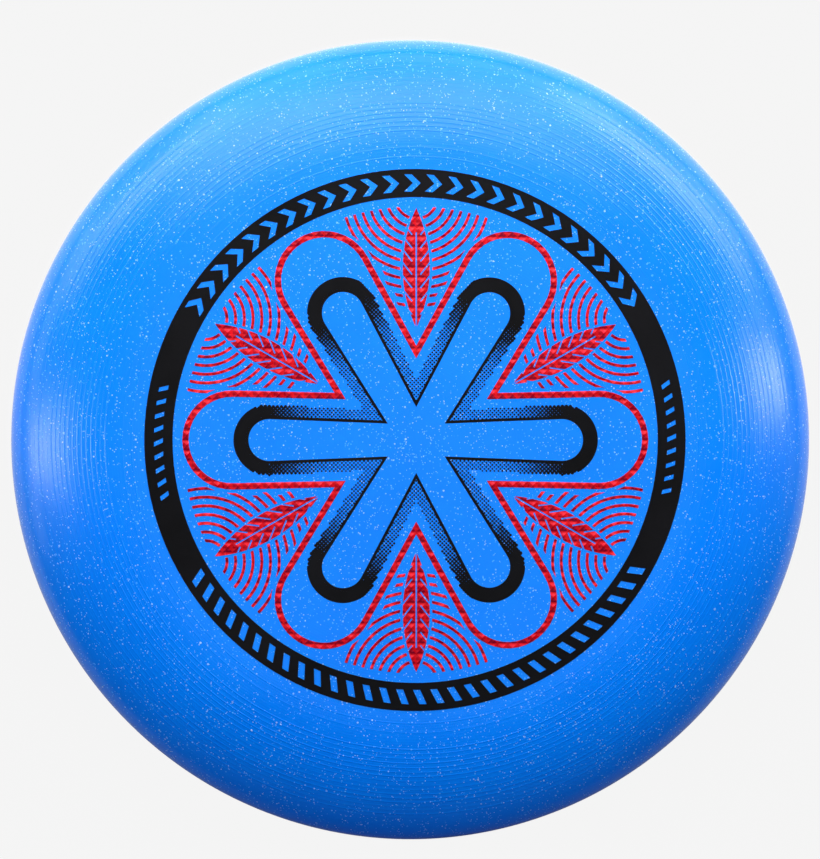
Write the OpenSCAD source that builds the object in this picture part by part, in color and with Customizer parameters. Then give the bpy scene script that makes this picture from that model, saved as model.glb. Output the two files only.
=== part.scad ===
// Sport flying disc: one moulded shell with hot-stamped foil graphics on its flight plate.
// Millimetres. +Z is up, the plate is on top and the rim opens downward.
// The origin is the centre of the circle that the rim rests on.

/* [Disc] */
// Largest diameter, at the nose of the rim
disc_d = 273; // [260:1:280]
// Height from the rim's resting land to the top of the flight plate
disc_h = 32; // [28:0.5:36]
// Radius of the flat part of the flight plate
flat_r = 92.5; // [91.5:0.5:94]
// Height of the widest point of the rim
nose_z = 10; // [8:0.5:12]

/* [Wall] */
// Thickness of the flight plate
plate_t = 1.7; // [1.6:0.1:2.4]
// Thickness of the rim at its widest point
rim_t = 4.5; // [4:0.25:5.5]
// Width of the flat land that the disc rests on
land_w = 3; // [2:0.25:3.5]
// How far the rim tucks in below its widest point
tuck = 2.5; // [1.5:0.25:3]
// How far the inner lip stands inside the wall above it
lip = 1.9; // [1:0.1:2.5]
// Radius of the rounded inner edge of the land
lip_round = 1.4; // [1:0.1:1.5]
// Diameter of the raised pad round the moulding gate, under the plate
gate_pad_d = 9; // [6:0.5:14]
// Height of the gate pad
gate_pad_h = 0.3; // [0.2:0.1:0.6]
// Diameter of the cut-off gate stub
gate_stub_d = 3.2; // [2:0.2:5]
// Height of the gate stub below its pad
gate_stub_h = 0.6; // [0.2:0.1:1]

/* [Flight rings] */
// Radius of the first ring of the ring field
ring_r = 103.6; // [102:0.2:105]
// Number of rings in the field
ring_count = 17; // [8:1:17]
// Spacing of the rings along the shoulder
ring_pitch = 1.6; // [1.4:0.1:1.6]
// Width of a ring at its foot
ring_w = 0.8; // [0.6:0.1:1.2]
// Height of a ring above the shoulder
ring_h = 0.12; // [0.08:0.02:0.3]
// Radius of the first single ring, inside the field
single_ring_r = 94.8; // [94.4:0.2:95.4]
// Radius of the second single ring
second_ring_r = 97.9; // [97:0.2:99]

/* [Foil] */
// Thickness of the stamped foil
foil_t = 0.1; // [0.05:0.05:0.2]

/* [Band] */
// Inner radius of the black band
band_in_r = 81.2; // [80.6:0.2:82]
// Outer radius of the black band
band_out_r = 90.6; // [89.6:0.2:91]
// Number of chevrons over the top of the band
chevron_count = 25; // [8:1:26]
// Angle from one chevron to the next
chevron_step = 4.8; // [4.6:0.1:5]
// Height of a chevron across the band
chevron_h = 5.8; // [4:0.2:7]
// Length of a chevron's arm along the band
chevron_w = 2.6; // [1.6:0.2:3]
// How far a chevron's point leads its arms
chevron_point = 3; // [2:0.5:4]
// Number of slanted bars along the bottom of the band
bar_count = 31; // [8:1:32]
// Angle from one slanted bar to the next
bar_step = 3.9; // [3.6:0.1:4]
// Height of a slanted bar across the band
bar_h = 4.8; // [4:0.2:7]
// Length of a slanted bar along the band
bar_w = 2.4; // [1.4:0.2:3]
// How far a bar leans
bar_slant = 2.2; // [1:0.2:3]
// Number of small bars at each side of the band
side_bar_count = 9; // [3:1:10]
// Angle from one small bar to the next
side_bar_step = 3; // [2.6:0.2:3.2]
// Size of the small bars, as a share of the slanted bars
side_bar_scale = 0.62; // [0.4:0.02:0.8]

/* [Petal figure] */
// Distance from the centre to the tip of a black petal
petal_tip_r = 61; // [56:1:63]
// Radius of the round end of a black petal
petal_lobe_r = 12; // [11.5:0.5:13]
// Distance from the centre to the valley between black petals
petal_valley_r = 21; // [20:0.5:23]
// Width of the black figure's line
figure_w = 5; // [3:0.5:6]
// Distance from the centre to the tip of a red petal outline
outline_tip_r = 78; // [74:0.5:78.5]
// Radius of the round end of a red petal outline
outline_lobe_r = 16.5; // [16:0.5:18]
// Distance from the centre to the valley of the red outline
outline_valley_r = 31.5; // [31:0.5:34]
// Width of the red outline
outline_w = 2.1; // [1.5:0.1:2.5]

/* [Leaves and ripples] */
// Distance from the centre to the inner tip of a leaf
leaf_in_r = 37.5; // [36:0.5:44]
// Distance from the centre to the outer tip of a leaf
leaf_out_r = 77.5; // [70:0.5:78]
// Greatest width of a leaf
leaf_w = 9; // [6:0.5:10]
// Width of the cuts that make a leaf's veins
vein_w = 0.5; // [0.4:0.1:0.9]
// Number of side veins on each half of a leaf
vein_count = 7; // [3:1:8]
// Angle between a side vein and the midrib
vein_angle = 38; // [30:1:60]
// Distance from the middle of the midrib to the start of a side vein
vein_start = 1.4; // [0.8:0.1:2]
// Length of the midrib, as a share of the leaf
midrib_share = 0.8; // [0.5:0.05:0.9]
// Distance from the centre to the point that the ripples spread from
ripple_r = 81; // [79:0.5:84]
// Radius of the smallest ripple
ripple_first = 7; // [5:0.5:9]
// Spacing of the ripples
ripple_pitch = 2.9; // [2.4:0.1:3.6]
// Width of a ripple line
ripple_w = 0.95; // [0.6:0.05:1.2]
// Number of ripples in a fan
ripple_count = 11; // [4:1:13]
// Gap between a ripple's end and the red outline
ripple_gap = 1.2; // [1:0.1:2.4]
// The same gap for every second ripple, which stops short
ripple_short_gap = 2.2; // [1.4:0.2:3]
// Gap between a ripple and the leaf that it passes
leaf_gap = 0.9; // [0.6:0.1:1.4]
// Angle that a fan of ripples spans, seen from the centre
fan_angle = 38; // [30:1:44]

/* [Hidden] */

$fn = 96;
petal_count = 6;
body_blue = [0.05, 0.47, 0.93];
foil_black = [0.08, 0.08, 0.09];
foil_red = [0.86, 0.06, 0.16];

disc_r = disc_d / 2;
sector = 360 / petal_count;

// The shoulder is a quarter ellipse from the flat plate to the nose of the rim.
// Its angle runs from 90 at the plate to 0 at the nose.
shoulder_a = disc_r - flat_r;
shoulder_b = disc_h - nose_z;
nose_steps = 14;
inside_steps = 22;
foot_steps = 10;
corner_steps = 6;
// How quickly the wall thickens toward the rim
thicken_power = 4;

land_out_r = disc_r - tuck;
land_in_r = land_out_r - land_w;
lip_in_r = land_in_r - lip_round;

band_mid_r = (band_in_r + band_out_r) / 2;
lobe_steps = 20;

// Outward normal of the shoulder at angle a
function shoulder_normal(a) =
    let (n = [cos(a) / shoulder_a, sin(a) / shoulder_b])
    n / norm(n);

// Point of the shoulder at angle a, moved out by h
function shoulder_point(a, h = 0) =
    [flat_r + shoulder_a * cos(a), nose_z + shoulder_b * sin(a)] + h * shoulder_normal(a);

// Length of shoulder that one degree of angle covers
function mm_per_degree(a) = norm([shoulder_a * sin(a), shoulder_b * cos(a)]) * PI / 180;

// Angle on the shoulder at radius r
function angle_at(r) = acos((r - flat_r) / shoulder_a);

// Wall thickness at angle a
function wall_t(a) = plate_t + (rim_t - plate_t) * pow(cos(a), thicken_power);

// The four corners of a ring's section, standing on the shoulder at angle a
function ring_points(a) =
    let (half = ring_w / 2 / mm_per_degree(a))
    [
        shoulder_point(a + half),
        shoulder_point(a + half / 3, ring_h),
        shoulder_point(a - half / 3, ring_h),
        shoulder_point(a - half)
    ];

// Angles of the ring field, a fixed length of shoulder apart
field_angles = [
    for (i = 0, a = angle_at(ring_r); i < ring_count; i = i + 1, a = a - ring_pitch / mm_per_degree(a)) a
];
ring_angles = concat([angle_at(single_ring_r), angle_at(second_ring_r)], field_angles);
last_angle = field_angles[ring_count - 1] - ring_w / mm_per_degree(field_angles[ring_count - 1]);

// Points of an elliptical arc about c, from angle a1 to a2
function arc_points(c, ra, rb, a1, a2, steps) =
    [for (i = [0 : steps]) let (a = a1 + (a2 - a1) * i / steps) c + [ra * cos(a), rb * sin(a)]];

top_outline = concat(
    [[0, disc_h]],
    [for (a = ring_angles) each ring_points(a)],
    [for (i = [0 : nose_steps]) shoulder_point(last_angle * (1 - i / nose_steps))]
);

foot_outline = concat(
    [for (i = [1 : foot_steps]) let (a = -90 * i / foot_steps)
        [land_out_r + tuck * cos(a), nose_z + nose_z * sin(a)]],
    arc_points([land_in_r, lip_round], lip_round, lip_round, 270, 180, corner_steps),
    [[lip_in_r, lip_round + lip]]
);

inside_outline = [
    for (i = [0 : inside_steps]) let (a = 90 * i / inside_steps) shoulder_point(a, -wall_t(a))
];

plate_under_z = disc_h - plate_t;
gate_outline = [
    [gate_pad_d / 2, plate_under_z],
    [gate_pad_d / 2, plate_under_z - gate_pad_h],
    [gate_stub_d / 2, plate_under_z - gate_pad_h],
    [gate_stub_d / 2, plate_under_z - gate_pad_h - gate_stub_h],
    [0, plate_under_z - gate_pad_h - gate_stub_h]
];

// Outline of the round-ended petals: from each valley straight to a round lobe and back.
// side_angle is where the straight side runs into the lobe, so that it leaves on a tangent.
function petal_points(tip_r, lobe_r, valley_r) =
    let (
        lobe_c = tip_r - lobe_r,
        to_lobe = [lobe_c - valley_r * cos(sector / 2), -valley_r * sin(sector / 2)],
        bearing = atan2(to_lobe[1], to_lobe[0]) + asin(lobe_r / norm(to_lobe)),
        side_angle = 90 + bearing
    )
    [
        for (k = [0 : petal_count - 1])
            let (turn = sector * k)
            each concat(
                [valley_r * [cos(turn - sector / 2), sin(turn - sector / 2)]],
                [
                    for (i = [0 : lobe_steps])
                        let (a = turn + side_angle * (2 * i / lobe_steps - 1))
                        lobe_c * [cos(turn), sin(turn)] + lobe_r * [cos(a), sin(a)]
                ]
            )
    ];

// A line of width w just inside the petal outline
module petal_line(tip_r, lobe_r, valley_r, w) {
    difference() {
        polygon(petal_points(tip_r, lobe_r, valley_r));
        polygon(petal_points(tip_r - w, lobe_r - w, valley_r - 2 * w));
    }
}

// Foil: a flat shape stamped on top of the flight plate
module stamped(tint) {
    color(tint)
        translate([0, 0, disc_h])
            linear_extrude(height = foil_t)
                children();
}

// A chevron that points clockwise, with its two arms across the band
module chevron() {
    side = [chevron_h / 2, chevron_point / 2];
    point = [0, -chevron_point / 2];
    tail = [0, chevron_w];
    polygon([
        [-side[0], side[1]], point, side,
        side + tail, point + tail, [-side[0], side[1]] + tail
    ]);
}

// A slanted bar across the band
module bar() {
    end = [bar_h / 2, bar_slant / 2];
    tail = [0, bar_w];
    polygon([-end, end, end + tail, tail - end]);
}

// count marks, step degrees apart, centred on the given bearing
module row_of_marks(count, step, bearing) {
    for (i = [0 : count - 1])
        rotate(bearing + (i - (count - 1) / 2) * step)
            translate([band_mid_r, 0])
                children();
}

// Pointed leaf lying along +X between two radii, grown all round by extra
module leaf_shape(extra = 0) {
    half_l = (leaf_out_r - leaf_in_r) / 2 + 2 * extra;
    half_w = leaf_w / 2 + extra;
    side_r = (half_l * half_l + half_w * half_w) / (2 * half_w);
    translate([(leaf_in_r + leaf_out_r) / 2, 0])
        intersection() {
            translate([0, side_r - half_w]) circle(side_r);
            translate([0, half_w - side_r]) circle(side_r);
        }
}

// Cuts that make the veins: a midrib that stops short of the tip, and slanted side veins
module leaf_veins() {
    vein_step = (leaf_out_r - leaf_in_r) / (vein_count + 2);
    translate([leaf_in_r, -vein_w / 2])
        square([(leaf_out_r - leaf_in_r) * midrib_share, vein_w]);
    for (side = [-1, 1])
        for (i = [1 : vein_count])
            translate([leaf_in_r + vein_step * i, side * vein_start])
                rotate(side * vein_angle)
                    translate([0, -vein_w / 2])
                        square([leaf_w, vein_w]);
}

// Every second ripple of a fan, spreading from a point near the band.
// The ripples keep clear of the leaf, and end at a gap from the red outline.
module ripples(first, gap) {
    fan_corner = outline_tip_r * [1, tan(fan_angle / 2)];
    difference() {
        intersection() {
            translate([ripple_r, 0])
                for (i = [first : 2 : ripple_count - 1])
                    difference() {
                        circle(ripple_first + i * ripple_pitch + ripple_w / 2);
                        circle(ripple_first + i * ripple_pitch - ripple_w / 2);
                    }
            circle(outline_tip_r);
            polygon([[0, 0], [fan_corner[0], -fan_corner[1]], fan_corner]);
        }
        rotate(sector / 2)
            polygon(petal_points(outline_tip_r + gap, outline_lobe_r + gap, outline_valley_r + 2 * gap));
        leaf_shape(leaf_gap);
    }
}

module disc_body() {
    color(body_blue)
        rotate_extrude()
            polygon(concat(top_outline, foot_outline, inside_outline, gate_outline));
}

module band_foil() {
    stamped(foil_black)
        difference() {
            circle(band_out_r);
            circle(band_in_r);
            row_of_marks(chevron_count, chevron_step, 90) chevron();
            row_of_marks(bar_count, bar_step, 270) bar();
            for (bearing = [0, 180])
                row_of_marks(side_bar_count, side_bar_step, bearing)
                    scale(side_bar_scale)
                        bar();
        }
}

module petal_figure_foil() {
    stamped(foil_black)
        petal_line(petal_tip_r, petal_lobe_r, petal_valley_r, figure_w);
}

module petal_outline_foil() {
    stamped(foil_red)
        petal_line(outline_tip_r, outline_lobe_r, outline_valley_r, outline_w);
}

module leaf_foil(k) {
    stamped(foil_red)
        rotate(sector * (k - 0.5))
            difference() {
                leaf_shape();
                leaf_veins();
            }
}

module ripple_foil(k) {
    stamped(foil_red)
        rotate(sector * (k - 0.5)) {
            ripples(0, ripple_gap);
            ripples(1, ripple_short_gap);
        }
}

disc_body();
band_foil();
petal_figure_foil();
petal_outline_foil();
leaf_foil(1);  // leaf_foil_1
leaf_foil(2);  // leaf_foil_2
leaf_foil(3);  // leaf_foil_3
leaf_foil(4);  // leaf_foil_4
leaf_foil(5);  // leaf_foil_5
leaf_foil(6);  // leaf_foil_6
ripple_foil(1);  // ripple_foil_1
ripple_foil(2);  // ripple_foil_2
ripple_foil(3);  // ripple_foil_3
ripple_foil(4);  // ripple_foil_4
ripple_foil(5);  // ripple_foil_5
ripple_foil(6);  // ripple_foil_6
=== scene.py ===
import math

import bpy
import numpy as np
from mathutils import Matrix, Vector


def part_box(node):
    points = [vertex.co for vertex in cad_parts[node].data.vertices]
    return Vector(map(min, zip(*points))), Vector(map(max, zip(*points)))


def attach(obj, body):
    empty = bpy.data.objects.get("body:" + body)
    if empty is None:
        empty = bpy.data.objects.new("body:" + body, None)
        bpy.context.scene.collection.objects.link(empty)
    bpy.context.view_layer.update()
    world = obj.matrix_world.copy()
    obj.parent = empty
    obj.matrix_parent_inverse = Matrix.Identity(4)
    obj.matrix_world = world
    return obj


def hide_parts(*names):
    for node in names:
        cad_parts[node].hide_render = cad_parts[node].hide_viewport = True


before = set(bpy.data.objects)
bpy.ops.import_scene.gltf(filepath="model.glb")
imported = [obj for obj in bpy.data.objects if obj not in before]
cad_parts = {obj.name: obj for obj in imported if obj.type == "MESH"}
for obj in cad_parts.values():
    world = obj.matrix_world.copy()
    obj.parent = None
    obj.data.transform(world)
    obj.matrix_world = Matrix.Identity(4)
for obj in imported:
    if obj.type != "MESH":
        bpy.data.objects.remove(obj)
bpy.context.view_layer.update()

MM = 0.001
ORNAMENT_SEED = 20
WEAR_SEED = 7
rng = np.random.default_rng(ORNAMENT_SEED)

# ---------------------------------------------------------------- sizes, in metres
# The disc's own sizes come from the frame. The rest repeat the CAD model's design values.
FOIL_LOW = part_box("band_foil")[0][2]
DISC_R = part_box("disc_body")[1][0]
PLATE_Z = FOIL_LOW
FLAT_R = 92.5 * MM
NOSE_Z = 10 * MM
PLATE_T = 1.7 * MM
RIM_T = 4.5 * MM
THICKEN_POWER = 4
LAND_W = 3 * MM
TUCK = 2.5 * MM
LIP = 1.9 * MM
LIP_ROUND = 1.4 * MM
GATE_PAD_R = 4.5 * MM
GATE_PAD_H = 0.3 * MM
GATE_STUB_R = 1.6 * MM
GATE_STUB_H = 0.6 * MM
GATE_ROUND = 0.12 * MM
RING_R = 103.6 * MM
RING_COUNT = 17
RING_PITCH = 1.6 * MM
RING_W = 0.8 * MM
RING_H = 0.12 * MM
SINGLE_RINGS = (94.8 * MM, 97.9 * MM)
SINGLE_RING_H = 0.04 * MM
# The mould's rings are worn unevenly: shares of the CAD ring height that are left.
RING_WEAR = (0.25, 0.35, 0.45, 0.55)
PETALS = 6
SECTOR = 2 * math.pi / PETALS
PETAL_TIP = 61 * MM
PETAL_LOBE = 12 * MM
PETAL_VALLEY = 21 * MM
FIGURE_W = 5 * MM

SHOULDER_A = DISC_R - FLAT_R
SHOULDER_B = PLATE_Z - NOSE_Z

# How finely the profile and its turning are divided.
SEGMENTS = 300
PLATE_STEPS = 14
RING_STEPS = 9
SHOULDER_STEP = math.radians(1.5)
NOSE_STEPS = 26
TUCK_STEPS = 14
LIP_STEPS = 8
WALL_FOOT_STEPS = 9
INSIDE_STEPS = 40
UNDER_STEPS = 12
LOBE_STEPS = 40
CAP_STEPS = 36
# Where the inner wall bends above the lip, as a share of its foot's height.
WALL_BEND = 0.6


# ---------------------------------------------------------------- camera
CAMERA_DISTANCE = 979 * MM
CAMERA_TILT = math.radians(2.95)
CAMERA_TARGET = Vector((-0.95 * MM, 3.5 * MM, NOSE_Z))


def make_camera():
    data = bpy.data.cameras.new("camera")
    data.lens = 120
    data.sensor_width = 36
    data.clip_start = 0.01
    camera = bpy.data.objects.new("camera", data)
    bpy.context.scene.collection.objects.link(camera)
    offset = Vector((-math.sin(CAMERA_TILT), 0, math.cos(CAMERA_TILT))) * CAMERA_DISTANCE
    camera.location = CAMERA_TARGET + offset
    camera.rotation_euler = (0, -CAMERA_TILT, 0)
    bpy.context.scene.camera = camera


make_camera()


# ---------------------------------------------------------------- node helpers
class Nodes:
    """Short forms for building one material's node tree."""

    def __init__(self, name):
        self.material = bpy.data.materials.new(name)
        self.material.use_nodes = True
        self.tree = self.material.node_tree
        self.shader = self.tree.nodes["Principled BSDF"]
        self.place = self.tree.nodes.new("ShaderNodeTexCoord").outputs["Object"]

    def new(self, kind, settings=None, **inputs):
        node = self.tree.nodes.new("ShaderNode" + kind)
        for key, value in (settings or {}).items():
            setattr(node, key, value)
        for key, value in inputs.items():
            self.feed(node.inputs[key.replace("_", " ")], value)
        return node

    def feed(self, socket, value):
        if isinstance(value, bpy.types.NodeSocket):
            self.tree.links.new(value, socket)
        else:
            socket.default_value = value

    def math(self, operation, *values):
        node = self.tree.nodes.new("ShaderNodeMath")
        node.operation = operation
        for socket, value in zip(node.inputs, values):
            self.feed(socket, value)
        return node.outputs[0]

    def mix(self, factor, a, b):
        node = self.tree.nodes.new("ShaderNodeMix")
        node.data_type = "RGBA"
        self.feed(node.inputs["Factor"], factor)
        self.feed(node.inputs["A"], a)
        self.feed(node.inputs["B"], b)
        return node.outputs["Result"]

    def ramp(self, value, low, high, to_low=0.0, to_high=1.0):
        node = self.tree.nodes.new("ShaderNodeMapRange")
        node.clamp = True
        for key, number in zip(("Value", "From Min", "From Max", "To Min", "To Max"),
                               (value, low, high, to_low, to_high)):
            self.feed(node.inputs[key], number)
        return node.outputs[0]

    def noise(self, scale, detail):
        return self.new("TexNoise", Vector=self.place, Scale=scale, Detail=detail).outputs["Fac"]

    def radius(self):
        parts = self.new("SeparateXYZ", Vector=self.place).outputs
        return self.math("SQRT", self.math("ADD", self.math("MULTIPLY", parts[0], parts[0]),
                                           self.math("MULTIPLY", parts[1], parts[1])))

    def bump(self, height, distance, normal=None):
        node = self.new("Bump", Height=height, Distance=distance)
        if normal is not None:
            self.tree.links.new(normal, node.inputs["Normal"])
        return node.outputs[0]

    def set(self, **inputs):
        for key, value in inputs.items():
            self.feed(self.shader.inputs[key.replace("_", " ")], value)


def rgb(r, g, b):
    """A colour given as it looks on screen, from 0 to 255, as the linear numbers a shader takes."""
    shares = [c / 255 for c in (r, g, b)]
    linear = [c / 12.92 if c <= 0.04045 else ((c + 0.055) / 1.055) ** 2.4 for c in shares]
    return (*linear, 1.0)


# ---------------------------------------------------------------- materials
TURNING_PITCH = 0.9 * MM
TURNING_DEPTH = 0.004 * MM
PLASTIC_GRAIN = 0.02 * MM
FOIL_GRAIN = 0.03 * MM
PAINTED_GLINT_CELLS = 850


def blue_plastic():
    """Glossy dyed plastic: slight flow marks, a fine deep sparkle painted into the base colour as pale
    specks (painted glints), and turning marks.
    """
    n = Nodes("blue_plastic")
    radius = n.radius()
    flow = n.noise(22, 4)
    mottle = n.noise(240, 2)
    base = n.mix(n.ramp(flow, 0.3, 0.7), rgb(0, 117, 233), rgb(1, 123, 238))
    base = n.mix(n.ramp(mottle, 0.55, 0.8, 0, 0.25), base, rgb(6, 132, 245))
    # Painted glints: pale specks in the base colour, near the centres of some cells, stand for the sparkle
    # of flakes deep in the plastic.
    cells = n.new("TexVoronoi", Vector=n.place, Scale=PAINTED_GLINT_CELLS)
    near = n.ramp(cells.outputs["Distance"], 0.12, 0.3, 1, 0)
    chosen = n.ramp(n.new("SeparateColor", Color=cells.outputs["Color"]).outputs[0], 0.8, 0.95)
    base = n.mix(n.math("MULTIPLY", n.math("MULTIPLY", near, chosen), 0.55), base, rgb(110, 195, 255))
    turning = n.math("SINE", n.math("MULTIPLY", radius, 2 * math.pi / TURNING_PITCH))
    fine = n.noise(700, 2)
    rough = n.ramp(flow, 0.2, 0.8, 0.2, 0.27)
    normal = n.bump(turning, TURNING_DEPTH)
    normal = n.bump(fine, PLASTIC_GRAIN, normal=normal)
    n.set(Base_Color=base, Roughness=rough, Normal=normal, IOR=1.51)
    n.set(Subsurface_Weight=0.12, Subsurface_Radius=(0.2, 0.6, 1.0), Subsurface_Scale=1.5 * MM)
    n.set(Sheen_Weight=0.28, Sheen_Roughness=0.3, Sheen_Tint=(0.9, 0.92, 1, 1))
    return n.material


def black_foil():
    """Satin black stamping foil, slightly cloudy, with a fine grain."""
    n = Nodes("black_foil")
    grain = n.noise(900, 2)
    cloud = n.noise(45, 3)
    base = n.mix(n.ramp(cloud, 0.3, 0.7), rgb(9, 9, 11), rgb(15, 15, 18))
    n.set(Base_Color=base, Roughness=n.ramp(grain, 0.3, 0.7, 0.42, 0.56))
    n.set(Normal=n.bump(grain, FOIL_GRAIN), Specular_IOR_Level=0.15)
    return n.material


# Each grid of pyramids: its cell size, its offset in cells and how strongly its painted highlight and
# painted shade show.
PRISM_GRIDS = ((3.4 * MM, 0.0, 1.0), (1.7 * MM, 0.25, 0.25))
PRISM_BUMP = 0.12


def red_foil():
    """Prismatic metallised foil: a grid of low pyramids in the bump, with painted light and shade in the
    base colour: a painted highlight on their north sides and painted shade on their south and west sides.
    """
    n = Nodes("red_foil")
    shine = n.noise(150, 2)
    base = n.mix(n.ramp(shine, 0.35, 0.65), rgb(188, 0, 16), rgb(222, 2, 20))
    height = 0.0
    for cell, offset, painted_light_strength in PRISM_GRIDS:
        parts = n.new("SeparateXYZ", Vector=n.place).outputs
        turns = [n.math("ADD", n.math("DIVIDE", part, cell), offset) for part in parts[:2]]
        x, y = (n.math("SUBTRACT", n.math("FRACT", turn), 0.5) for turn in turns)
        across, up = n.math("ABSOLUTE", x), n.math("ABSOLUTE", y)
        north = n.ramp(n.math("SUBTRACT", y, across), 0.0, 0.04)
        south = n.ramp(n.math("SUBTRACT", n.math("MULTIPLY", y, -1), across), 0.0, 0.04)
        west = n.ramp(n.math("SUBTRACT", n.math("MULTIPLY", x, -1), up), 0.0, 0.04)
        # Painted shade: the south and west sides of each pyramid are darkened in the base colour.
        base = n.mix(n.math("MULTIPLY", south, 0.85 * painted_light_strength), base, rgb(112, 0, 34))
        base = n.mix(n.math("MULTIPLY", west, 0.5 * painted_light_strength), base, rgb(140, 0, 30))
        # Painted highlight: a pink-red triangle on the north side of each pyramid, in the base colour.
        lit = n.math("MULTIPLY", north, n.ramp(up, 0.2, 0.42, 1, 0))
        base = n.mix(n.math("MULTIPLY", lit, 0.6 * painted_light_strength), base, rgb(255, 45, 72))
        height = n.math("ADD", height, n.math("MULTIPLY", n.math("MAXIMUM", across, up), -cell))
    n.set(Base_Color=base, Metallic=0.2, Roughness=n.ramp(shine, 0.3, 0.7, 0.24, 0.36))
    n.set(Normal=n.bump(height, PRISM_BUMP))
    return n.material


def flake_metal():
    """Silvery flakes seen through a little blue plastic; each flake has its own tone."""
    n = Nodes("flake_metal")
    tone = n.new("Attribute", {"attribute_name": "tone"}).outputs["Fac"]
    base = n.mix(tone, rgb(44, 150, 252), rgb(205, 236, 255))
    base = n.mix(n.ramp(n.noise(400, 1), 0.45, 0.6, 0, 0.2), base, rgb(255, 250, 244))
    n.set(Base_Color=base, Metallic=0.2, Roughness=n.ramp(tone, 0, 1, 0.4, 0.22))
    return n.material


STUDIO_WHITE = 0.9


def pale_floor():
    n = Nodes("pale_floor")
    tint = n.mix(n.ramp(n.noise(6, 3), 0.3, 0.7), (0.012, 0.012, 0.012, 1), (0.016, 0.016, 0.016, 1))
    n.set(Base_Color=tint, Roughness=0.9, Specular_IOR_Level=0)
    n.set(Emission_Color=(1, 1, 1, 1), Emission_Strength=STUDIO_WHITE)
    return n.material


BLUE = blue_plastic()
BLACK = black_foil()
RED = red_foil()
FLAKE = flake_metal()


# ---------------------------------------------------------------- pieces
def mesh_piece(name, points, faces, material, smooth):
    mesh = bpy.data.meshes.new(name)
    mesh.from_pydata([tuple(p) for p in points], [], faces)
    mesh.validate()
    mesh.update()
    mesh.materials.append(material)
    mesh.polygons.foreach_set("use_smooth", [smooth] * len(mesh.polygons))
    piece = bpy.data.objects.new(name, mesh)
    bpy.context.scene.collection.objects.link(piece)
    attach(piece, "root")
    return piece


# The shoulder is a quarter ellipse; its angle runs from 90 degrees at the plate to 0 at the nose.
def shoulder(angle, height=0.0):
    """Radius and z of the shoulder at an angle, moved out along its normal."""
    normal = np.array((math.cos(angle) / SHOULDER_A, math.sin(angle) / SHOULDER_B))
    normal /= np.linalg.norm(normal)
    on = np.array((FLAT_R + SHOULDER_A * math.cos(angle), NOSE_Z + SHOULDER_B * math.sin(angle)))
    return on + height * normal


def length_per_radian(angle):
    return math.hypot(SHOULDER_A * math.sin(angle), SHOULDER_B * math.cos(angle))


def ring_angles():
    angles = [math.acos((r - FLAT_R) / SHOULDER_A) for r in SINGLE_RINGS]
    angle = math.acos((RING_R - FLAT_R) / SHOULDER_A)
    for _ in range(RING_COUNT):
        angles.append(angle)
        angle -= RING_PITCH / length_per_radian(angle)
    return angles


def wall(angle):
    return PLATE_T + (RIM_T - PLATE_T) * max(math.cos(angle), 0) ** THICKEN_POWER


def ring_heights():
    """Some rings of the field are more worn than others."""
    field = RING_H * np.random.default_rng(WEAR_SEED).choice(RING_WEAR, RING_COUNT)
    return [SINGLE_RING_H] * len(SINGLE_RINGS) + list(field)


def top_profile():
    """Plate, rounded rings and shoulder, down to the nose."""
    profile = [np.array((r, PLATE_Z)) for r in np.linspace(0, FLAT_R, PLATE_STEPS)[1:]]
    last = math.pi / 2
    for angle, height in zip(ring_angles(), ring_heights()):
        half = RING_W / 2 / length_per_radian(angle)
        gap = last - (angle + half)
        extra = int(gap / SHOULDER_STEP)
        profile += [shoulder(last - gap * (i + 1) / (extra + 1)) for i in range(extra)]
        for i in range(RING_STEPS):
            across = -1 + 2 * i / (RING_STEPS - 1)
            rise = height * (0.5 + 0.5 * math.cos(math.pi * across)) ** 2
            profile.append(shoulder(angle - across * half, rise))
        last = angle - half
    profile += [shoulder(last * (1 - i / NOSE_STEPS)) for i in range(1, NOSE_STEPS + 1)]
    return profile


def foot_profile():
    """Below the nose: the tuck, the resting land and the inner lip."""
    land_out = DISC_R - TUCK
    land_in = land_out - LAND_W
    profile = []
    for i in range(1, TUCK_STEPS + 1):
        angle = -math.pi / 2 * i / TUCK_STEPS
        profile.append(np.array((land_out + TUCK * math.cos(angle), NOSE_Z + NOSE_Z * math.sin(angle))))
    for i in range(LIP_STEPS + 1):
        angle = math.radians(270 - 90 * i / LIP_STEPS)
        outward = np.array((math.cos(angle), math.sin(angle)))
        profile.append(np.array((land_in, LIP_ROUND)) + LIP_ROUND * outward)
    lip_top = np.array((land_in - LIP_ROUND, LIP_ROUND + LIP))
    wall_foot = shoulder(0, -RIM_T)
    bend = np.array((land_in - LIP_ROUND, wall_foot[1] * WALL_BEND))
    profile.append(lip_top)
    for i in range(1, WALL_FOOT_STEPS):
        t = i / WALL_FOOT_STEPS
        profile.append((1 - t) ** 2 * lip_top + 2 * t * (1 - t) * bend + t * t * wall_foot)
    return profile


def inside_profile():
    """Inner wall and the underside of the plate, in to the gate stub."""
    profile = []
    for i in range(INSIDE_STEPS + 1):
        angle = math.pi / 2 * i / INSIDE_STEPS
        profile.append(shoulder(angle, -wall(angle)))
    under = PLATE_Z - PLATE_T
    profile += [np.array((r, under)) for r in np.linspace(FLAT_R, GATE_PAD_R + GATE_ROUND, UNDER_STEPS)[1:]]
    profile.append(np.array((GATE_PAD_R, under - GATE_PAD_H * 0.5)))
    profile.append(np.array((GATE_PAD_R - GATE_ROUND, under - GATE_PAD_H)))
    profile.append(np.array((GATE_STUB_R + GATE_ROUND, under - GATE_PAD_H)))
    profile.append(np.array((GATE_STUB_R, under - GATE_PAD_H - GATE_ROUND)))
    profile.append(np.array((GATE_STUB_R, under - GATE_PAD_H - GATE_STUB_H + GATE_ROUND)))
    profile.append(np.array((GATE_STUB_R - GATE_ROUND, under - GATE_PAD_H - GATE_STUB_H)))
    return profile


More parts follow.
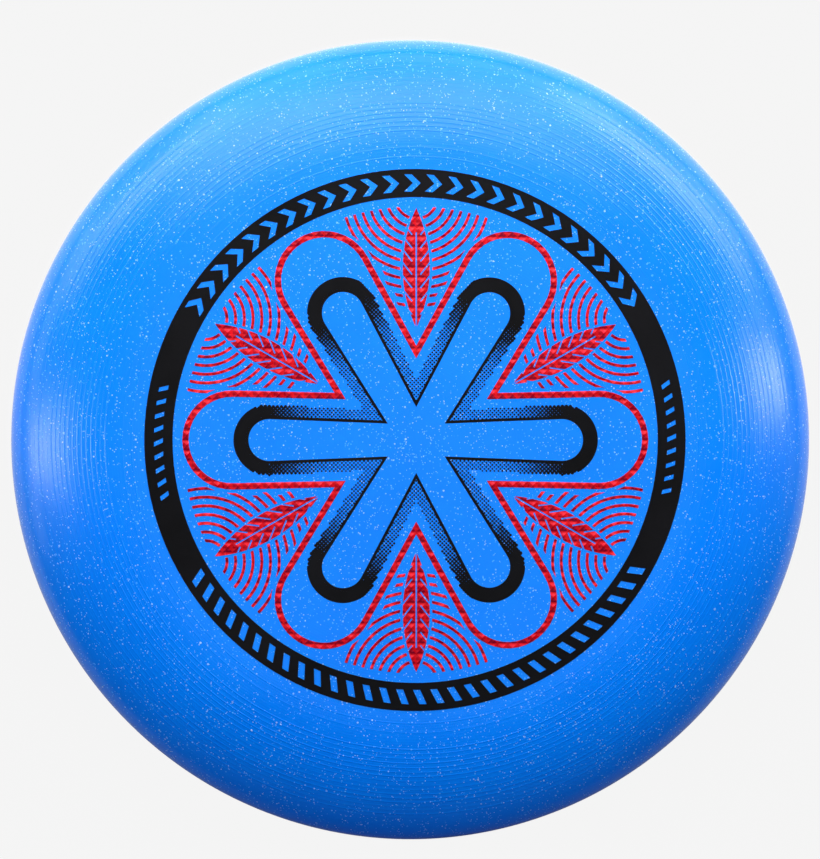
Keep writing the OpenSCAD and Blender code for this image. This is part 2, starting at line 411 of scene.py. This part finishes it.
PROFILE = top_profile() + foot_profile() + inside_profile()
TOP_ROWS = np.array(top_profile())
UNDER_ROWS = np.array(foot_profile() + inside_profile())


def make_body():
    """Turns the profile about the Z axis; the two ends close on the axis."""
    turn = np.linspace(0, 2 * math.pi, SEGMENTS, endpoint=False)
    points = [(r * math.cos(a), r * math.sin(a), z) for r, z in PROFILE for a in turn]
    faces = []
    for row in range(len(PROFILE) - 1):
        for k in range(SEGMENTS):
            here, there = row * SEGMENTS, (row + 1) * SEGMENTS
            after = (k + 1) % SEGMENTS
            faces.append((here + k, there + k, there + after, here + after))
    top_centre = len(points)
    points += [(0, 0, PLATE_Z), (0, 0, PROFILE[-1][1])]
    last = (len(PROFILE) - 1) * SEGMENTS
    for k in range(SEGMENTS):
        after = (k + 1) % SEGMENTS
        faces.append((top_centre, k, after))
        faces.append((top_centre + 1, last + after, last + k))
    body = mesh_piece("disc_moulding", points, faces, BLUE, True)
    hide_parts("disc_body")


# ---------------------------------------------------------------- petal figure
def petal_distance(x, y, tip, lobe, valley):
    """Distance outside (+) or inside (-) the petal outline, for arrays of points."""
    angle = np.arctan2(y, x)
    turned = angle - np.round(angle / SECTOR) * SECTOR
    reach = np.hypot(x, y)
    px, py = reach * np.cos(turned), np.abs(reach * np.sin(turned))
    centre = tip - lobe
    start = np.array((valley * math.cos(SECTOR / 2), valley * math.sin(SECTOR / 2)))
    to_lobe = np.array((centre, 0)) - start
    span = math.hypot(*to_lobe)
    bearing = math.atan2(to_lobe[1], to_lobe[0]) + math.asin(lobe / span)
    along = np.array((math.cos(bearing), math.sin(bearing)))
    side_length = math.sqrt(span * span - lobe * lobe)
    travelled = (px - start[0]) * along[0] + (py - start[1]) * along[1]
    to_side = -(px - start[0]) * along[1] + (py - start[1]) * along[0]
    to_lobe_edge = np.hypot(px - centre, py) - lobe
    return np.where(travelled > side_length, to_lobe_edge, to_side), px


DOT_PITCH = 0.95 * MM
DOT_R = 0.35 * MM
DOT_SIDES = 8
DOT_GROWTH = 1.3
DOT_GROWTH_POWER = 1.7
DOT_SPREAD = (0.92, 1.08)
DOT_HEIGHTS = (0.5, 0.95)
DOT_OVERHANG = 0.15 * MM
LINE_W = 1.0 * MM
SOLID_HALF = math.radians(62)
FADE_LENGTH = 27 * MM
DOT_RISE = 0.05 * MM


def turn_matrix(angle):
    return np.array(((math.cos(angle), -math.sin(angle)), (math.sin(angle), math.cos(angle))))


def petal_loop(tip, lobe, valley):
    """Points round the petal outline: each valley, then its lobe."""
    centre = tip - lobe
    start = np.array((valley * math.cos(SECTOR / 2), -valley * math.sin(SECTOR / 2)))
    to_lobe = np.array((centre, 0)) - start
    bearing = math.atan2(to_lobe[1], to_lobe[0]) - math.asin(lobe / math.hypot(*to_lobe))
    side = math.pi / 2 - bearing
    loop = []
    for k in range(PETALS):
        turn = SECTOR * k
        cos_t, sin_t = math.cos(turn), math.sin(turn)
        local = [start] + [np.array((centre + lobe * math.cos(a), lobe * math.sin(a)))
                           for a in np.linspace(-side, side, LOBE_STEPS)]
        loop += [(p[0] * cos_t - p[1] * sin_t, p[0] * sin_t + p[1] * cos_t) for p in local]
    return loop


def add_strip(points, faces, outer, inner, closed=True):
    """A flat strip between two rows of the same length, with its edges dropped to the plate."""
    high = FOIL_LOW + DOT_RISE
    rows = [(outer, FOIL_LOW), (outer, high), (inner, high), (inner, FOIL_LOW)]
    first = len(points)
    for row, z in rows:
        points += [(x, y, z) for x, y in row]
    count = len(outer)
    for r in range(len(rows) - 1):
        for k in range(count if closed else count - 1):
            after = (k + 1) % count
            a, b = first + r * count, first + (r + 1) * count
            faces.append((a + k, a + after, b + after, b + k))


def make_petal_figure():
    """Black figure as it is printed: a thin inner line, solid petal tips and a screen of dots."""
    points, faces = [], []
    inner = (PETAL_TIP - FIGURE_W, PETAL_LOBE - FIGURE_W, PETAL_VALLEY - 2 * FIGURE_W)
    line = (inner[0] + LINE_W, inner[1] + LINE_W, inner[2] + 2 * LINE_W)
    add_strip(points, faces, petal_loop(*line), petal_loop(*inner))
    centre = PETAL_TIP - PETAL_LOBE
    arc = np.linspace(-SOLID_HALF, SOLID_HALF, CAP_STEPS)
    for k in range(PETALS):
        rows = []
        for radius in (PETAL_LOBE, PETAL_LOBE - FIGURE_W + LINE_W):
            local = np.stack((centre + radius * np.cos(arc), radius * np.sin(arc)))
            rows.append((turn_matrix(SECTOR * k) @ local).T)
        add_strip(points, faces, rows[0], rows[1], closed=False)
    reach = np.arange(-PETAL_TIP, PETAL_TIP, DOT_PITCH) * math.sqrt(2)
    u, v = (g.ravel() for g in np.meshgrid(reach, reach))
    x, y = turn_matrix(math.pi / 4) @ np.stack((u, v)) / math.sqrt(2)
    outside, along = petal_distance(x, y, PETAL_TIP, PETAL_LOBE, PETAL_VALLEY)
    within, _ = petal_distance(x, y, *inner)
    solid_from = centre + PETAL_LOBE * math.cos(SOLID_HALF)
    growth = np.clip((along - solid_from + FADE_LENGTH) / FADE_LENGTH, 0, 1)
    size = DOT_R * (1 + DOT_GROWTH * growth ** DOT_GROWTH_POWER) * rng.uniform(*DOT_SPREAD, x.size)
    size = np.minimum(size, np.maximum(DOT_OVERHANG - outside, DOT_R))
    keep = (outside < -DOT_R * 0.8) & (within > LINE_W * 0.7) & (along < solid_from + DOT_PITCH)
    spin = np.linspace(0, 2 * math.pi, DOT_SIDES, endpoint=False)
    # Each dot has its own height, so that dots which run together don't share a face.
    top = FOIL_LOW + DOT_RISE * rng.uniform(*DOT_HEIGHTS, x.size)
    for px, py, radius, high in zip(x[keep], y[keep], size[keep], top[keep]):
        first = len(points)
        for z in (FOIL_LOW, high):
            points += [(px + radius * math.cos(a), py + radius * math.sin(a), z) for a in spin]
        faces.append(tuple(range(first + DOT_SIDES, first + 2 * DOT_SIDES)))
        for k in range(DOT_SIDES):
            after = (k + 1) % DOT_SIDES
            faces.append((first + k, first + after, first + DOT_SIDES + after, first + DOT_SIDES + k))
    figure = mesh_piece("petal_figure_screen", points, faces, BLACK, False)
    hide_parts("petal_figure_foil")


# ---------------------------------------------------------------- glitter
FLAKE_SIDES = 5
FLAKE_R = 0.23 * MM
FLAKE_RISE = 0.03 * MM
FLAKE_SINK = 0.01 * MM
FLAKE_SPREAD = 0.28
FLAKE_LEAN = 0.5
FLAKE_TONE = (0.5, 6.8)
CLEAR_OF_LAND = 1 * MM
GATE_RING = (2 * MM, 7.5 * MM)
TOP_FLAKES = 21000
GATE_FLAKES = 110
UNDER_FLAKES = 8000


def make_flakes(name, rows, count):
    """Five-sided flakes lying in the surface that the profile rows turn through."""
    step = np.diff(rows, axis=0)
    area = np.hypot(step[:, 0], step[:, 1]) * (rows[1:, 0] + rows[:-1, 0])
    # None lie on the land, so the disc rests on its plastic.
    area *= np.minimum(rows[1:, 1], rows[:-1, 1]) > CLEAR_OF_LAND
    chosen = rng.choice(len(step), count, p=area / area.sum())
    near, far = rows[chosen, 0], rows[chosen + 1, 0]
    radius = np.sqrt(near ** 2 + rng.uniform(0, 1, count) * (far ** 2 - near ** 2))
    run = step[chosen, 0]
    along = (radius - near) / np.where(run == 0, 1, run)
    share = np.where(np.abs(run) > 1e-9, along, rng.uniform(0, 1, count))
    height = rows[chosen, 1] + step[chosen, 1] * share
    turn = rng.uniform(0, 2 * math.pi, count)
    outward = np.stack((np.cos(turn), np.sin(turn), np.zeros(count)), axis=1)
    side = np.stack((-np.sin(turn), np.cos(turn), np.zeros(count)), axis=1)
    up = np.array((0, 0, 1.0))
    length = np.hypot(step[chosen, 0], step[chosen, 1])[:, None]
    fore = (run[:, None] * outward + step[chosen, 1:2] * up) / length
    normal = np.cross(fore, side)
    centre = radius[:, None] * outward + height[:, None] * up
    size = rng.lognormal(math.log(FLAKE_R), FLAKE_SPREAD, count)
    lean = rng.uniform(-FLAKE_LEAN, FLAKE_LEAN, (count, 2)) * size[:, None]
    spin = rng.uniform(0, 2 * math.pi, count)
    tone = rng.beta(*FLAKE_TONE, count)
    corners = []
    for k in range(FLAKE_SIDES):
        angle = spin + 2 * math.pi * k / FLAKE_SIDES
        across = (size * np.cos(angle))[:, None] * side + (size * np.sin(angle))[:, None] * fore
        corners.append(centre + across - normal * FLAKE_SINK)
    corners.append(centre + normal * FLAKE_RISE + lean[:, :1] * side + lean[:, 1:] * fore)
    points = np.stack(corners, axis=1).reshape(-1, 3)
    each = FLAKE_SIDES + 1
    faces = [(first + k, first + (k + 1) % FLAKE_SIDES, first + FLAKE_SIDES)
             for first in range(0, count * each, each) for k in range(FLAKE_SIDES)]
    flakes = mesh_piece(name, points, faces, FLAKE, False)
    attribute = flakes.data.attributes.new("tone", "FLOAT", "POINT")
    attribute.data.foreach_set("value", np.repeat(tone, each))


make_body()
make_petal_figure()
make_flakes("glitter_top", TOP_ROWS, TOP_FLAKES)
make_flakes("glitter_gate", np.array([(r, PLATE_Z) for r in GATE_RING]), GATE_FLAKES)
make_flakes("glitter_under", UNDER_ROWS, UNDER_FLAKES)

for node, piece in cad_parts.items():
    if node == "band_foil":
        piece.data.materials[0] = BLACK
    elif node.endswith("outline_foil") or node.startswith(("leaf", "ripple")):
        piece.data.materials[0] = RED


# ---------------------------------------------------------------- floor and lights
FLOOR_HALF = 4.0
FLOOR_DROP = 0.05 * MM
CARD_SIDES = 96


def make_floor():
    corners = [(x * FLOOR_HALF, y * FLOOR_HALF, 0) for x, y in ((-1, -1), (1, -1), (1, 1), (-1, 1))]
    mesh = bpy.data.meshes.new("floor")
    mesh.from_pydata(corners, [], [(0, 1, 2, 3)])
    mesh.materials.append(pale_floor())
    floor = bpy.data.objects.new("floor", mesh)
    floor.location.z = -FLOOR_DROP
    floor.visible_glossy = False
    floor.visible_diffuse = False
    bpy.context.scene.collection.objects.link(floor)


# Place, size, power, whether gloss shows it, and a colour where it is not white.
# North is the top of the picture.
# Most powers go back to a least-squares fit of one-softbox renders to the photo's colours: eleven
# are its results rounded to one decimal, and the two corner lights at 0.36 m were then changed.
SOFTBOXES = {
    "key": ((-0.04, 0.36, 0.3), (0.4, 0.2), 2.0, False),
    "overhead": ((0, 0.1, 1.4), (0.8, 0.8), 4.5, False),
    "north": ((0, 0.7, 0.45), (1.2, 0.5), 1.4, True),
    "north_high": ((0, 0.5, 0.8), (0.8, 0.3), 1.5, True),
    "north_low": ((0, 0.9, 0.15), (1.2, 0.25), 1.6, True),
    "north_east": ((0.5, 0.55, 0.4), (0.3, 0.3), 0.6, True),
    "north_east_low": ((0.62, 0.62, 0.36), (0.7, 0.3), 2.6, True),
    "north_east_foot": ((0.68, 0.68, 0.07), (0.6, 0.12), 0.6, True),
    "north_west": ((-0.5, 0.55, 0.4), (0.3, 0.3), 0.5, True),
    "north_west_low": ((-0.62, 0.62, 0.36), (0.7, 0.3), 1.5, True),
    "north_west_foot": ((-0.68, 0.68, 0.07), (0.6, 0.12), 0.4, True),
    "east": ((0.75, 0.12, 0.42), (0.12, 0.4), 1.6, True),
    "east_low": ((0.9, 0.25, 0.15), (0.9, 0.25), 0.4, True),
    "west": ((-0.75, -0.02, 0.42), (0.12, 0.5), 1.5, True),
    "west_low": ((-0.9, 0.15, 0.15), (0.9, 0.25), 0.8, True),
    "south_fill": ((0, -0.8, 0.25), (1.2, 0.4), 1.5, False, (0.3, 0.5, 1)),
}
CARD_IN_R = 139 * MM
CARD_OUT_R = 260 * MM
CARD_GLOW = 1.5


def area_light(name, place, size, power, glossy, colour=(1, 1, 1)):
    data = bpy.data.lights.new(name, "AREA")
    data.shape = "RECTANGLE"
    data.size, data.size_y = size
    data.energy = power
    data.color = colour
    light = bpy.data.objects.new(name, data)
    light.location = place
    light.rotation_euler = (-Vector(place)).to_track_quat("-Z", "Y").to_euler()
    light.visible_glossy = glossy
    light.visible_camera = False
    bpy.context.scene.collection.objects.link(light)


def make_bounce_card():
    """A ring-shaped card round the disc that throws light up at the rim, brighter to the north."""
    turn = np.linspace(0, 2 * math.pi, CARD_SIDES, endpoint=False)
    points = [(r * math.cos(a), r * math.sin(a), 0) for r in (CARD_IN_R, CARD_OUT_R) for a in turn]
    count = len(turn)
    faces = [(k, count + k, count + (k + 1) % count, (k + 1) % count) for k in range(count)]
    mesh = bpy.data.meshes.new("bounce_card")
    mesh.from_pydata(points, [], faces)
    n = Nodes("bounce_card")
    north = n.math("DIVIDE", n.new("SeparateXYZ", Vector=n.place).outputs[1], n.radius())
    upward = n.math("SUBTRACT", 1, n.new("NewGeometry").outputs["Backfacing"])
    glow = n.math("MULTIPLY", n.ramp(north, -1, 1, 0, CARD_GLOW), upward)
    n.set(Base_Color=(0.02, 0.02, 0.02, 1), Emission_Color=(1, 1, 1, 1), Emission_Strength=glow)
    mesh.materials.append(n.material)
    card = bpy.data.objects.new("bounce_card", mesh)
    card.visible_camera = False
    card.visible_shadow = False
    bpy.context.scene.collection.objects.link(card)


def make_world():
    world = bpy.data.worlds.new("studio")
    world.use_nodes = True
    background = world.node_tree.nodes["Background"]
    background.inputs["Color"].default_value = (1, 1, 1, 1)
    background.inputs["Strength"].default_value = STUDIO_WHITE
    world.cycles_visibility.diffuse = False
    world.cycles_visibility.glossy = False
    bpy.context.scene.world = world


make_floor()
make_world()
for name, softbox in SOFTBOXES.items():
    area_light(name, *softbox)
make_bounce_card()
bpy.context.scene.view_settings.view_transform = "Standard"
